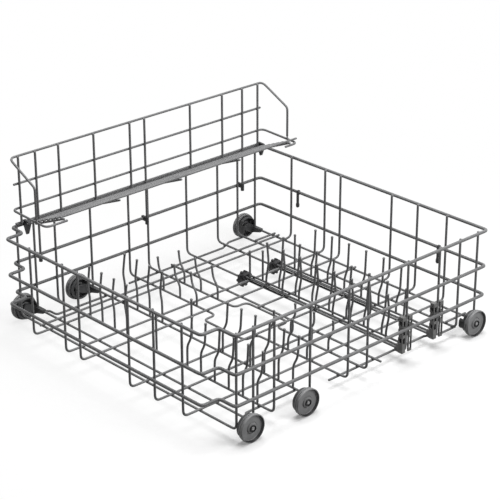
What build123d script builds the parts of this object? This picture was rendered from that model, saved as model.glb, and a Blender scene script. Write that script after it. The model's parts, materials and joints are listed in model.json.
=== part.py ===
# Dishwasher basket: a welded wire rack on six wheels, with fixed and fold-down tines,
# a raised frame over the left wall and a wire shelf that folds up against it.
# Millimetres, Z up. The origin is on the ground under the middle of the rails.

import os
from math import asin, atan2, cos, hypot, sin

from build123d import *

os.makedirs("parts", exist_ok=True)

# Rail loops
rail_width = 500.0
rail_depth = 549.2
rail_radius = 2.5
rail_bend = 6.0
low_rail_z = 57.0
middle_rail_rise = 48.3
top_rail_rise = 107.1
bulge_step = 31.3
bulge_left = 29.0
bulge_right = 33.0

# Basket wires
wire_radius = 1.85
wire_bend = 8.0
wire_sides = 8
bend_steps = 3
wire_end_rise = 2.0
floor_z = 17.5
weld_gap = 0.05

# Cross wires, measured from the front inset, the middle and the back rail
front_wheel_wire_set = 37.3
front_row_set = 76.8
second_wheel_wire_set = 146.3
short_row_set = 20.0
front_bar_set = 171.6
rear_bar_set = 102.6
plain_wire_set = 57.1
rear_wheel_wire_set = 16.6

# Sideways jog of the two middle cross wires
jog_step = 25.0
jog_left = 212.0
jog_right = 194.0

# Long wires, measured from the left and the right rail
long_wires_from_left = (81.0, 160.0, 195.0)
long_wires_from_right = (192.0, 137.0, 77.0)

# Loose floor wires
stringer_set = 33.0
stringer_left = 21.0
stringer_right = 6.0
wire_overhang = 4.0
side_wire_set = 61.5
side_wire_lead = 8.0
middle_wire_x = -8.0
stub_left_set = 51.5
stub_right_set = 23.2
front_runner_set = 35.5
front_runner_shift = 20.0
front_runner_lead = 6.5
front_runner_bend = 5.0
runner_set = 24.0
runner_lead = 19.5
runner_wave = 11.0
runner_wave_start = 52.0
runner_wave_length = 24.0
runner_tail = 9.0

# Fixed tines
tine_radius = 1.75
tall_tine_pitch = 29.7
tall_left_count = 4
tall_left_set = 86.5
tall_right_count = 6
tall_right_set = 38.0
tall_foot = 34.0
tall_bend = 16.0
tall_head = 36.0
gap_tine_x = -6.0
gap_tine_height = 63.0
tall_left_shift = -4.0
tall_left_lean = 6.0
tall_right_shift = 9.0
tall_right_lean = 2.5
short_tine_pitch = 39.8
short_count = 3
short_left_set = 88.5
short_right_set = 87.5
short_row_stagger = 4.5
short_foot = 20.0
short_bend = 13.0
short_head = 20.0
short_left_shift = -11.0
short_left_lean = -2.5
short_right_shift = 10.0
short_right_lean = -1.0

# Fold-down combs
fold_gap = 0.3
hinge_clearance = 0.06
comb_offset = 4.7
comb_pitch = 37.0
bearing_set = 147.0
first_tine_gap = 16.0
first_row_gap = 54.0
middle_stagger = 20.0
rear_stagger = 22.5
comb_end_gap = 1.8
front_comb_first = 48.0
front_comb_steps = ((12.0, 0.0), (29.0, 5.5), (34.0, -4.0))
middle_comb_first = 52.0
middle_comb_steps = ((14.0, 0.0), (22.0, 5.0), (54.0, 4.0))
rear_comb_first = 60.0
rear_comb_steps = ((19.0, 0.0), (20.0, 7.0), (44.0, 1.5))
rear_comb_gap = 44.0

# Toothed bearings on the left ends of the fold-down bars
bearing_root = 11.6
bearing_disc = 6.0
bearing_hub = 8.0
bearing_wall = 2.0
tooth_count = 10
tooth_width = 3.4
tooth_height = 1.8
rod_end_gap = 0.3
rod_seat = 5.2

# Ladder clips on their right ends
ladder_bottom = 1.0
ladder_height = 59.0
ladder_depth = 9.0
loop_depth = 2.6
column_width = 7.2
column_gap = 2.0
loop_gap = 4.5
rung_depth = 5.2
rung_height = 4.0
rung_pitch = 14.0
rung_first = 27.5
rung_count = 3
window_width = 4.2
window_height = 9.0
window_depth = 7.4
loop_foot = 4.0
loop_window = 19.0
block_lead = 5.2
block_depth = 7.0
block_wall = 2.0
block_arch = 3.0

# Wheels and their brackets
wheel_radius = 21.5
wheel_width = 9.0
wheel_sides = 30
wheel_rim = 2.5
wheel_recess = 3.5
wheel_hub_radius = 8.0
hub_set = 2.0
wheel_gap = 3.0
wheel_sets = (17.0, 20.0, 13.5)
axle_radius = 4.0
axle_clearance = 0.06
side_play = 0.3
head_radius = 5.4
head_width = 1.8
bracket_web = 5.0
bracket_boss = 7.0
nose_length = 26.0
nose_width = 7.0
nose_root = 13.0
nose_tip = 5.6
nose_wire_seat = 12.0
post_seat = 5.0
stop_reach = 15.5
stop_arm = 7.0
stop_depth = 7.0
stop_width = 6.0
stop_side = 10.0
stop_height = 16.6

# Raised frame over the left wall
frame_front_set = 0.3
frame_back_set = -0.5
frame_top_rise = 113.6
frame_middle_rise = 69.9
arm_rise = 30.4
arm_drop = 2.5
foot_rise = 5.9
frame_end_set = 4.0
arm_reach = 88.5
return_front = 40.0
return_back = 28.0
brace_reach = 65.0
brace_rise = 53.5
uprights_from_front = (13.0, 88.0, 156.0)
uprights_from_leg = (-30.0, 95.6)
uprights_from_back = (94.5, 14.6)
leg_sets = (7.5, -5.0, 8.0)
leg_end = 7.0
leg_clip_width = 4.0
leg_clip_wall = 1.2

# Folding shelf
hinge_reach = 16.0
hinge_rise = 5.5
shelf_front_set = 30.0
shelf_back_set = 14.1
shelf_wire_pitch = 12.0
shelf_wire_count = 6
shelf_bar_pitch = 124.5
shelf_bar_shift = -3.0
shelf_bar_tip = 3.0
shelf_end_bar_set = 3.0
shelf_rest = 5.0
pivot_front_set = 21.0
pivot_back_set = 8.6
pivot_half = 2.0
pivot_wall = 1.6
pivot_tail = 16.5
pivot_tail_set = 10.5
pivot_tail_radius = 2.4

# Spare clips on the back wall
spare_clip_spread = 156.0
spare_clip_width = 3.4
spare_clip_ring = 4.2
spare_finger_width = 3.2
spare_finger_drop = 24.0
spare_finger_set = 2.0
spare_foot_width = 5.6
spare_foot_height = 9.0
spare_flat = 2.2

# Places worked out from the sizes above
left_x = -rail_width / 2
right_x = rail_width / 2
front_y = -rail_depth / 2
back_y = rail_depth / 2
inset_y = front_y + bulge_step
middle_rail_z = low_rail_z + middle_rail_rise
top_rail_z = low_rail_z + top_rail_rise
wall_set = rail_radius + weld_gap + wire_radius
wall_x = right_x - wall_set
wall_y = back_y - wall_set
wire_top_z = top_rail_z + wire_end_rise
wire_step = 2 * wire_radius + weld_gap

long_z = floor_z + wire_step
runner_z = floor_z - wire_step
tine_foot_z = floor_z + wire_radius + weld_gap
comb_z = long_z + wire_radius + fold_gap + tine_radius

corner_wire_y = inset_y + rail_bend
front_wheel_wire_y = inset_y + front_wheel_wire_set
front_row_y = inset_y + front_row_set
second_wheel_wire_y = inset_y + second_wheel_wire_set
front_bar_y = back_y - front_bar_set
rear_bar_y = back_y - rear_bar_set
plain_wire_y = back_y - plain_wire_set
rear_wheel_wire_y = back_y - rear_wheel_wire_set
wheel_wires_y = (front_wheel_wire_y, second_wheel_wire_y, rear_wheel_wire_y)

wheel_inner_x = right_x + rail_radius + wheel_gap
bracket_outer_x = wheel_inner_x - side_play
nose_tip_x = bracket_outer_x - nose_length
axle_z = wheel_radius


# The points of a bent path, each round corner taken in a few short straight steps
def stepped_path(points, bend, close):
    path = FilletPolyline(*points, radius=bend, close=close, mode=Mode.PRIVATE)
    stepped = [path @ 0]
    for edge in path.edges():
        steps = bend_steps if edge.geom_type == GeomType.CIRCLE else 1
        stepped += [edge @ (step / steps) for step in range(1, steps + 1)]
    return stepped[:-1] if close else stepped


# A wire bent along a path, with the same radius at every corner and few faces
def bent_wire(points, radius, bend, close=False):
    with BuildPart() as wire:
        with BuildLine() as path:
            Polyline(*stepped_path(points, bend, close), close=close)
        with BuildSketch(Plane(origin=path.line @ 0, z_dir=path.line % 0)):
            RegularPolygon(radius, wire_sides)
        sweep(transition=Transition.RIGHT)
    return wire.part


# A straight wire with the same few faces
def straight_wire(start, end, radius):
    with BuildPart() as wire:
        with BuildLine() as path:
            Line(start, end)
        with BuildSketch(Plane(origin=path.line @ 0, z_dir=path.line % 0)):
            RegularPolygon(radius, wire_sides)
        sweep()
    return wire.part


# A round rod along X or Y, for what turns in a bore
def round_rod(start, end, radius):
    with BuildPart() as rod:
        with BuildLine() as path:
            Line(start, end)
        with BuildSketch(Plane(origin=path.line @ 0, z_dir=path.line % 0)):
            Circle(radius)
        sweep()
    return rod.part


# An upright tine standing on the origin: each step is a rise and a sideways shift
def tine(steps):
    points = [(0, 0, 0)]
    for rise, shift in steps:
        last_x, last_y, last_z = points[-1]
        points.append((last_x + shift, last_y, last_z + rise))
    with BuildPart() as upright:
        with BuildLine():
            Polyline(*points)
        with BuildSketch(Plane.XY):
            RegularPolygon(tine_radius, wire_sides)
        sweep(transition=Transition.RIGHT)
    return upright.part


def save(piece, name):
    piece.label = name
    export_step(piece, f"parts/{name}.step")


# Three rail loops
rail_corners = (
    (left_x, back_y),
    (left_x, inset_y),
    (left_x + bulge_left, inset_y),
    (left_x + bulge_left, front_y),
    (right_x - bulge_right, front_y),
    (right_x - bulge_right, inset_y),
    (right_x, inset_y),
    (right_x, back_y),
)
rail_heights = {"low_rail": low_rail_z, "middle_rail": middle_rail_z, "top_rail": top_rail_z}
for rail_name, rail_z in rail_heights.items():
    rail = bent_wire([(x, y, rail_z) for x, y in rail_corners], rail_radius, rail_bend, close=True)
    save(rail, rail_name)

# Cross wires bent up both side walls
plain_cross_wires = {
    "cross_wire_corner": corner_wire_y,
    "cross_wire_front_row": front_row_y,
    "cross_wire_front_bar": front_bar_y,
    "cross_wire_rear_bar": rear_bar_y,
    "cross_wire_back": plain_wire_y,
}
for wire_name, wire_y in plain_cross_wires.items():
    cross_points = [
        (-wall_x, wire_y, wire_top_z),
        (-wall_x, wire_y, floor_z),
        (wall_x, wire_y, floor_z),
        (wall_x, wire_y, wire_top_z),
    ]
    save(bent_wire(cross_points, wire_radius, wire_bend), wire_name)

# The two middle cross wires step away from each other in the middle of the floor
jogged_cross_wires = {"cross_wire_jog_front": -1, "cross_wire_jog_rear": 1}
for wire_name, way in jogged_cross_wires.items():
    row_y = way * short_row_set
    jog_y = way * (short_row_set + jog_step)
    jog_points = [
        (-wall_x, row_y, wire_top_z),
        (-wall_x, row_y, floor_z),
        (left_x + jog_left, row_y, floor_z),
        (left_x + jog_left, jog_y, floor_z),
        (right_x - jog_right, jog_y, floor_z),
        (right_x - jog_right, row_y, floor_z),
        (wall_x, row_y, floor_z),
        (wall_x, row_y, wire_top_z),
    ]
    save(bent_wire(jog_points, wire_radius, wire_bend), wire_name)

# Floor wires between the wheels, and the wall posts that stand in the wheel brackets
floor_end_x = nose_tip_x + nose_wire_seat
for wire_name, wire_y in zip(("front", "second", "rear"), wheel_wires_y):
    floor_wire = straight_wire(
        (-floor_end_x, wire_y, floor_z), (floor_end_x, wire_y, floor_z), wire_radius
    )
    save(floor_wire, f"wheel_wire_{wire_name}")

nose_top_z = floor_z + nose_tip / 2
post_foot_z = nose_top_z - post_seat
with BuildPart() as wall_posts:
    with BuildSketch(Plane.XY.offset(post_foot_z)):
        with Locations(*[(side * wall_x, y) for side in (-1, 1) for y in wheel_wires_y]):
            RegularPolygon(wire_radius, wire_sides)
    extrude(amount=wire_top_z - post_foot_z)
save(wall_posts.part, "wall_posts")

# Long wires, lying on the cross wires and bent up the front and back walls
long_wires_x = [left_x + set_in for set_in in long_wires_from_left]
long_wires_x += [right_x - set_in for set_in in long_wires_from_right]
for number, wire_x in enumerate(long_wires_x, start=1):
    long_points = [
        (wire_x, -wall_y, wire_top_z),
        (wire_x, -wall_y, long_z),
        (wire_x, wall_y, long_z),
        (wire_x, wall_y, wire_top_z),
    ]
    save(bent_wire(long_points, wire_radius, wire_bend), f"long_wire_{number}")

# Loose straight wires on the floor
stringer_y = short_row_set + stringer_set
stringer = straight_wire(
    (left_x + stringer_left, stringer_y, floor_z),
    (right_x - stringer_right, stringer_y, floor_z),
    wire_radius,
)
save(stringer, "floor_stringer")

side_wire_end_y = rear_wheel_wire_y + wire_overhang
side_wire = straight_wire(
    (left_x + side_wire_set, corner_wire_y - side_wire_lead, long_z),
    (left_x + side_wire_set, side_wire_end_y, long_z),
    wire_radius,
)
save(side_wire, "side_wire")

middle_wire = straight_wire(
    (middle_wire_x, short_row_set + jog_step - wire_overhang, long_z),
    (middle_wire_x, side_wire_end_y, long_z),
    wire_radius,
)
save(middle_wire, "middle_wire")

stub_wires_x = (left_x + stub_left_set, right_x - stub_right_set)
with BuildPart() as stub_wires:
    for stub_x in stub_wires_x:
        stub_start = (stub_x, plain_wire_y - wire_overhang, long_z)
        add(straight_wire(stub_start, (stub_x, side_wire_end_y, long_z), wire_radius))
save(stub_wires.part, "stub_wires")

# Runner wires under the floor: a front length bent in from the first wheel,
# and a rear length waved outward before the last wheel
front_runner_x = right_x - front_runner_set
front_runner_start_y = front_wheel_wire_y + nose_width / 2 + wire_radius + fold_gap
front_runner_turn_y = front_runner_start_y + front_runner_lead
runner_x = right_x - runner_set
runner_wave_y = plain_wire_y - runner_wave_start
for side_name, side in (("left", -1), ("right", 1)):
    front_points = [
        (side * (front_runner_x + front_runner_shift), front_runner_start_y, runner_z),
        (side * (front_runner_x + front_runner_shift), front_runner_turn_y, runner_z),
        (side * front_runner_x, front_runner_turn_y, runner_z),
        (side * front_runner_x, second_wheel_wire_y + wire_overhang, runner_z),
    ]
    rear_points = [
        (side * runner_x, -short_row_set - runner_lead, runner_z),
        (side * runner_x, runner_wave_y, runner_z),
        (side * (runner_x + runner_wave), runner_wave_y + runner_wave_length, runner_z),
        (side * (runner_x + runner_wave), plain_wire_y + runner_tail, runner_z),
    ]
    with BuildPart() as runner:
        add(bent_wire(front_points, wire_radius, front_runner_bend))
        add(bent_wire(rear_points, wire_radius, wire_bend))
    save(runner.part, f"runner_{side_name}")

# Tall fixed tines: a left and a right group on each of the two front rows, and a straight one between
tall_left = tine(((tall_foot, 0), (tall_bend, tall_left_shift), (tall_head, tall_left_lean)))
tall_right = tine(((tall_foot, 0), (tall_bend, tall_right_shift), (tall_head, tall_right_lean)))
tall_left_x = [left_x + tall_left_set + tall_tine_pitch * k for k in range(tall_left_count)]
tall_right_x = [right_x - tall_right_set - tall_tine_pitch * k for k in range(tall_right_count)]
gap_tine = tine(((gap_tine_height, 0),))
for row_name, row_y in (("front", front_row_y), ("rear", second_wheel_wire_y)):
    with BuildPart() as tall_tines:
        with Locations(*[(x, row_y, tine_foot_z) for x in tall_left_x]):
            add(tall_left)
        with Locations(*[(x, row_y, tine_foot_z) for x in tall_right_x]):
            add(tall_right)
        with Locations((gap_tine_x, row_y, tine_foot_z)):
            add(gap_tine)
    save(tall_tines.part, f"tall_tines_{row_name}")

# Short fixed tines on the two jogged wires
short_left = tine(((short_foot, 0), (short_bend, short_left_shift), (short_head, short_left_lean)))
short_right = tine(((short_foot, 0), (short_bend, short_right_shift), (short_head, short_right_lean)))
short_left_x = [left_x + short_left_set + short_tine_pitch * k for k in range(short_count)]
short_right_x = [right_x - short_right_set - short_tine_pitch * k for k in range(short_count)]
for row_name, way in (("front", -1), ("rear", 1)):
    row_y = way * short_row_set
    stagger_x = short_row_stagger * (way + 1) / 2
    with BuildPart() as short_tines:
        with Locations(*[(x + stagger_x, row_y, tine_foot_z) for x in short_left_x]):
            add(short_left)
        with Locations(*[(x + stagger_x, row_y, tine_foot_z) for x in short_right_x]):
            add(short_right)
    save(short_tines.part, f"short_tines_{row_name}")

# Fold-down combs: a base rod that turns in its end pieces, one straight tine and a row of bent ones
bearing_x = left_x + bearing_set
bearing_left_x = bearing_x - (bearing_disc + bearing_hub) / 2
bearing_right_x = bearing_left_x + bearing_disc + bearing_hub
ladder_outer_x = right_x - rail_radius - fold_gap
ladder_inner_x = ladder_outer_x - ladder_depth
rod_start_x = bearing_right_x - bearing_hub - bearing_disc / 2
block_inner_x = ladder_inner_x - block_lead
rod_end_x = block_inner_x + rod_seat
comb_tine_z = comb_z + tine_radius + weld_gap
comb_last_x = block_inner_x - comb_end_gap


def comb(rod_y, first_x, first_height, row_x, steps, last_x):
    count = int((last_x - row_x) // comb_pitch) + 1
    row = [row_x + comb_pitch * k for k in range(count)]
    with BuildPart() as rod:
        add(round_rod((rod_start_x, rod_y, comb_z), (rod_end_x, rod_y, comb_z), tine_radius))
        with Locations((first_x, rod_y, comb_tine_z)):
            add(tine(((first_height, 0),)))
        with Locations(*[(x, rod_y, comb_tine_z) for x in row]):
            add(tine(steps))
    return rod.part


first_tine_x = bearing_x + first_tine_gap
row_start_x = bearing_x + first_row_gap
comb_front_y = front_bar_y - comb_offset
comb_middle_y = front_bar_y + comb_offset
comb_rear_y = rear_bar_y + comb_offset
comb_front = comb(
    comb_front_y, first_tine_x, front_comb_first, row_start_x, front_comb_steps, comb_last_x
)
save(comb_front, "comb_front")
comb_middle = comb(
    comb_middle_y,
    first_tine_x + middle_stagger,
    middle_comb_first,
    row_start_x + middle_stagger,
    middle_comb_steps,
    comb_last_x,
)
save(comb_middle, "comb_middle")
comb_rear = comb(
    comb_rear_y,
    first_tine_x + rear_stagger,
    rear_comb_first,
    row_start_x + rear_stagger,
    rear_comb_steps,
    comb_last_x - rear_comb_gap,
)
save(comb_rear, "comb_rear")


# A plain rod beside the rear comb fills the other side of the rear bar
bar_rod_y = rear_bar_y - comb_offset
bar_rod = straight_wire((rod_start_x, bar_rod_y, comb_z), (rod_end_x, bar_rod_y, comb_z), tine_radius)
save(bar_rod, "rear_bar_rod")


# A toothed bearing fixed on a cross wire, with bores for the rods beside it
def toothed_bearing(wire_y, rods_y):
    with BuildPart() as bearing:
        with BuildSketch(Plane.YZ.offset(bearing_left_x)):
            with Locations((wire_y, floor_z)):
                RegularPolygon(bearing_root, 2 * tooth_count)
                with PolarLocations(bearing_root, tooth_count):
                    Rectangle(2 * tooth_height, tooth_width)
        extrude(amount=bearing_disc)
        with BuildSketch(Plane.YZ.offset(bearing_left_x + bearing_disc)):
            with Locations((wire_y, floor_z)):
                RegularPolygon(wire_radius + bearing_wall, wire_sides)
            with Locations(*[(y, comb_z) for y in rods_y]):
                RegularPolygon(tine_radius + bearing_wall, wire_sides)
            make_hull()
        extrude(amount=bearing_hub)
        with BuildSketch(Plane.YZ.offset(bearing_left_x)):
            with Locations((wire_y, floor_z)):
                RegularPolygon(wire_radius + weld_gap, wire_sides)
        extrude(amount=bearing_disc + bearing_hub, mode=Mode.SUBTRACT)
        with BuildSketch(Plane.YZ.offset(rod_start_x - rod_end_gap)):
            with Locations(*[(y, comb_z) for y in rods_y]):
                Circle(tine_radius + hinge_clearance)
        extrude(amount=bearing_right_x - rod_start_x + rod_end_gap, mode=Mode.SUBTRACT)
    return bearing.part


save(toothed_bearing(front_bar_y, (comb_front_y, comb_middle_y)), "bearing_front")
save(toothed_bearing(rear_bar_y, (bar_rod_y, comb_rear_y)), "bearing_rear")


# A ladder-like clip: a deep column with windows and a thin open one on either side of a wall wire,
# joined by rungs, with a block in front of them that takes the ends of the rods
def ladder_clip(wire_y, rods_y):
    ladder_z = floor_z - ladder_bottom
    deep_y = wire_y - column_gap - column_width / 2
    thin_y = wire_y + loop_gap + column_width / 2
    rungs_z = [ladder_z + rung_first + rung_pitch * k for k in range(rung_count)]
    windows_z = [z - rung_pitch / 2 for z in rungs_z]
    block_top_z = comb_z + tine_radius + block_wall
    with BuildPart() as clip:
        with BuildSketch(Plane.XY.offset(ladder_z)):
            with Locations((ladder_outer_x - ladder_depth / 2, deep_y)):
                Rectangle(ladder_depth, column_width)
            with Locations((ladder_outer_x - loop_depth / 2, thin_y)):
                Rectangle(loop_depth, column_width)
        extrude(amount=ladder_height)
        with BuildSketch(Plane.YZ.offset(ladder_inner_x)):
            with Locations(*[(deep_y, z) for z in rungs_z]):
                Rectangle(thin_y - deep_y, rung_height, align=(Align.MIN, Align.CENTER))
        extrude(amount=rung_depth)
        with BuildSketch(Plane.YZ.offset(ladder_inner_x)):
            with Locations(*[(thin_y, z) for z in rungs_z]):
                Rectangle(column_width, rung_height)
        extrude(amount=ladder_depth)
        with BuildSketch(Plane.YZ.offset(block_inner_x)):
            with Locations((wire_y, ladder_z)):
                Rectangle(
                    2 * (comb_offset + tine_radius + block_wall),
                    block_top_z - ladder_z,
                    align=(Align.CENTER, Align.MIN),
                )
                Rectangle(
                    2 * column_gap,
                    ladder_bottom + block_arch,
                    align=(Align.CENTER, Align.MIN),
                    mode=Mode.SUBTRACT,
                )
        extrude(amount=block_depth)
        with BuildSketch(Plane.YZ.offset(ladder_outer_x)):
            with Locations(*[(deep_y, z) for z in windows_z]):
                Rectangle(window_width, window_height)
        extrude(amount=-window_depth, mode=Mode.SUBTRACT)
        with BuildSketch(Plane.YZ.offset(ladder_outer_x)):
            with Locations(*[(thin_y, z) for z in windows_z[1:]]):
                Rectangle(window_width, window_height)
            with Locations((thin_y, ladder_z + loop_foot)):
                Rectangle(window_width, loop_window, align=(Align.CENTER, Align.MIN))
        extrude(amount=-loop_depth, mode=Mode.SUBTRACT)
        with BuildSketch(Plane.YZ.offset(block_inner_x)):
            with Locations(*[(y, comb_z) for y in rods_y]):
                Circle(tine_radius + hinge_clearance)
        extrude(amount=rod_seat + rod_end_gap, mode=Mode.SUBTRACT)
    return clip.part


save(ladder_clip(front_bar_y, (comb_front_y, comb_middle_y)), "ladder_clip_front")
save(ladder_clip(rear_bar_y, (bar_rod_y, comb_rear_y)), "ladder_clip_rear")

# Wheels: a tread of many small flats, a recess round the hub on the outer face, and a round bore
hub_x = wheel_width - hub_set
wheels_y = [wire_y - set_in for wire_y, set_in in zip(wheel_wires_y, wheel_sets)]
for side_name, side in (("left", -1), ("right", 1)):
    for place, wheel_y in zip(("front", "second", "rear"), wheels_y):
        hub_place = (side * wheel_inner_x, wheel_y, axle_z)
        inner_face = Plane(origin=hub_place, x_dir=(0, 1, 0), z_dir=(side, 0, 0))
        with BuildPart() as wheel:
            with BuildSketch(inner_face):
                RegularPolygon(wheel_radius, wheel_sides)
            extrude(amount=wheel_width)
            with BuildSketch(inner_face.offset(wheel_width)):
                RegularPolygon(wheel_radius - wheel_rim, wheel_sides)
            extrude(amount=-wheel_recess, mode=Mode.SUBTRACT)
            with BuildSketch(inner_face):
                RegularPolygon(wheel_hub_radius, 2 * wire_sides)
            extrude(amount=hub_x)
            with BuildSketch(inner_face):
                Circle(axle_radius + axle_clearance)
            extrude(amount=wheel_width, mode=Mode.SUBTRACT)
        save(wheel.part, f"wheel_{side_name}_{place}")

# Wheel brackets: a tapered nose that takes the floor wire and the post, a web to the wheel,
# a stub axle with a snap head, and on the rear ones a stop that stands out in front of the wheel
head_x = wheel_inner_x + hub_x + side_play
for side_name, side in (("left", -1), ("right", 1)):
    with BuildPart() as brackets:
        for wire_y, wheel_y in zip(wheel_wires_y, wheels_y):
            with BuildSketch(Plane.XZ.offset(-wire_y)):
                with BuildLine():
                    Polyline(
                        (side * bracket_outer_x, nose_top_z),
                        (side * nose_tip_x, nose_top_z),
                        (side * nose_tip_x, nose_top_z - nose_tip),
                        (side * bracket_outer_x, nose_top_z - nose_root),
                        close=True,
                    )
                make_face()
            extrude(amount=nose_width / 2, both=True)
            with BuildSketch(Plane.YZ.offset(side * bracket_outer_x)):
                with Locations((wire_y, nose_top_z)):
                    Rectangle(nose_width, nose_root, align=(Align.CENTER, Align.MAX))
                with Locations((wheel_y, axle_z)):
                    RegularPolygon(bracket_boss, 2 * wire_sides)
                make_hull()
            extrude(amount=-side * bracket_web)
            with BuildSketch(Plane.YZ.offset(side * bracket_outer_x)):
                with Locations((wheel_y, axle_z)):
                    Circle(axle_radius)
            extrude(amount=side * (head_x - bracket_outer_x))
            with BuildSketch(Plane.YZ.offset(side * head_x)):
                with Locations((wheel_y, axle_z)):
                    RegularPolygon(head_radius, 2 * wire_sides)
            extrude(amount=side * head_width)
            with BuildSketch(Plane.XY.offset(nose_top_z)):
                with Locations((side * wall_x, wire_y)):
                    RegularPolygon(wire_radius + weld_gap, wire_sides)
            extrude(amount=-post_seat - weld_gap, mode=Mode.SUBTRACT)
            with BuildSketch(Plane.YZ.offset(side * nose_tip_x)):
                with Locations((wire_y, floor_z)):
                    RegularPolygon(wire_radius + weld_gap, wire_sides)
            extrude(amount=side * (nose_wire_seat + weld_gap), mode=Mode.SUBTRACT)
        stop_y = wheels_y[-1] - stop_reach
        with BuildSketch(Plane.YZ.offset(side * bracket_outer_x)):
            with Locations((stop_y, axle_z)):
                Rectangle(stop_reach, stop_arm, align=(Align.MIN, Align.CENTER))
        extrude(amount=-side * bracket_web)
        with BuildSketch(Plane.YZ.offset(side * bracket_outer_x)):
            with BuildLine():
                Polyline(
                    (stop_y, axle_z + stop_height / 2),
                    (stop_y + stop_width / 2, axle_z + stop_side / 2),
                    (stop_y + stop_width / 2, axle_z - stop_side / 2),
                    (stop_y, axle_z - stop_height / 2),
                    (stop_y - stop_width / 2, axle_z - stop_side / 2),
                    (stop_y - stop_width / 2, axle_z + stop_side / 2),
                    close=True,
                )
            make_face()
        extrude(amount=-side * (bracket_web + stop_depth))
    save(brackets.part, f"wheel_brackets_{side_name}")

# Raised frame: four wires along the wall, two of them bent forward at both ends
frame_front_y = inset_y + frame_front_set
frame_back_y = back_y - frame_back_set
upright_x = wall_x - wire_step
frame_top_z = top_rail_z + frame_top_rise
arm_z = top_rail_z + arm_rise
arm_x = left_x + arm_reach
brace_x = left_x + brace_reach
brace_z = arm_z + brace_rise
arm_end_z = arm_z - arm_drop
brace_foot_z = arm_z - arm_drop * (brace_x + wall_x) / (arm_x + wall_x) + wire_step
frame_top_points = [
    (brace_x, frame_front_y, brace_foot_z),
    (brace_x, frame_front_y, brace_z),
    (-wall_x, frame_front_y, frame_top_z),
    (-wall_x, frame_back_y, frame_top_z),
    (brace_x, frame_back_y, brace_z),
    (brace_x, frame_back_y, brace_foot_z),
]
save(bent_wire(frame_top_points, wire_radius, wire_bend), "frame_top_wire")

arm_points = [
    (arm_x, frame_front_y + return_front, arm_end_z),
    (arm_x, frame_front_y, arm_end_z),
    (-wall_x, frame_front_y, arm_z),
    (-wall_x, frame_back_y, arm_z),
    (arm_x, frame_back_y, arm_end_z),
    (arm_x, frame_back_y - return_back, arm_end_z),
]
save(bent_wire(arm_points, wire_radius, wire_bend), "frame_arm_wire")

foot_z = top_rail_z + foot_rise
middle_wire_z = top_rail_z + frame_middle_rise
for wire_name, wire_z in (("frame_middle_wire", middle_wire_z), ("frame_foot_wire", foot_z)):
    frame_wire = straight_wire(
        (-wall_x, frame_front_y + frame_end_set, wire_z),
        (-wall_x, frame_back_y - frame_end_set, wire_z),
        wire_radius,
    )
    save(frame_wire, wire_name)

# Uprights stand inside the four wires; the three legs go on down past the middle rail
leg_wires_y = (front_wheel_wire_y, short_row_set, plain_wire_y)
legs_y = [wire_y + set_in for wire_y, set_in in zip(leg_wires_y, leg_sets)]
upright_foot_z = foot_z - wire_radius
upright_top_z = frame_top_z + wire_radius / 2
uprights_y = [frame_front_y + set_in for set_in in uprights_from_front]
uprights_y += [legs_y[1] + set_in for set_in in uprights_from_leg]
uprights_y += [frame_back_y - set_in for set_in in uprights_from_back]
with BuildPart() as uprights:
    with BuildSketch(Plane.XY.offset(upright_foot_z)):
        with Locations(*[(-upright_x, y) for y in uprights_y]):
            RegularPolygon(wire_radius, wire_sides)
    extrude(amount=upright_top_z - upright_foot_z)
save(uprights.part, "frame_uprights")

leg_foot_z = middle_rail_z - leg_end
with BuildPart() as legs:
    with BuildSketch(Plane.XY.offset(leg_foot_z)):
        with Locations(*[(-upright_x, y) for y in legs_y]):
            RegularPolygon(wire_radius, wire_sides)
    extrude(amount=upright_top_z - leg_foot_z)
save(legs.part, "frame_legs")

# Clips that hold the legs on the middle rail, each with a cap on the end of its leg
leg_cap_radius = wire_radius + leg_clip_wall
leg_clip_radius = rail_radius + leg_clip_wall
leg_clip_reach = right_x - upright_x + leg_clip_radius
leg_cap_z = leg_foot_z - leg_clip_wall
with BuildPart() as leg_clips:
    with BuildSketch(Plane.XY.offset(middle_rail_z)):
        with Locations(*[(-upright_x, y) for y in legs_y]):
            Rectangle(leg_clip_reach, leg_clip_width, align=(Align.MAX, Align.CENTER))
    extrude(amount=leg_clip_radius, both=True)
    with BuildSketch(Plane.XY.offset(leg_cap_z)):
        with Locations(*[(-upright_x, y) for y in legs_y]):
            RegularPolygon(leg_cap_radius, wire_sides)
    extrude(amount=middle_rail_z + leg_clip_radius - leg_cap_z)
    with BuildSketch(Plane.XY.offset(leg_foot_z)):
        with Locations(*[(-upright_x, y) for y in legs_y]):
            RegularPolygon(wire_radius + weld_gap, wire_sides)
    extrude(amount=leg_end + 2 * leg_clip_radius, mode=Mode.SUBTRACT)
    with BuildSketch(Plane.XZ):
        with Locations((left_x, middle_rail_z)):
            RegularPolygon(rail_radius + weld_gap, wire_sides)
    extrude(amount=rail_depth, both=True, mode=Mode.SUBTRACT)
save(leg_clips.part, "leg_clips")

# Folding shelf: lengthwise wires on cross bars, the outer two of which rest on the ends of the arms
hinge_x = left_x + hinge_reach
hinge_z = top_rail_z + hinge_rise
tine_step = 2 * tine_radius + weld_gap
arm_distance = hypot(arm_x - hinge_x, arm_end_z - hinge_z)
bar_height = wire_radius + fold_gap + tine_radius + tine_step
slope = atan2(arm_end_z - hinge_z, arm_x - hinge_x) + asin(bar_height / arm_distance)
bar_tip_reach = arm_distance + shelf_bar_tip
shelf_front_y = frame_front_y + shelf_front_set
shelf_back_y = frame_back_y - shelf_back_set
shelf_middle_y = (shelf_front_y + shelf_back_y) / 2
pivots_y = (frame_front_y + pivot_front_set, frame_back_y - pivot_back_set)


# A point on the shelf: along its slope, across the basket, and square to its face
def shelf_point(along, across, above):
    return (
        hinge_x + along * cos(slope) - above * sin(slope),
        across,
        hinge_z + along * sin(slope) + above * cos(slope),
    )


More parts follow.
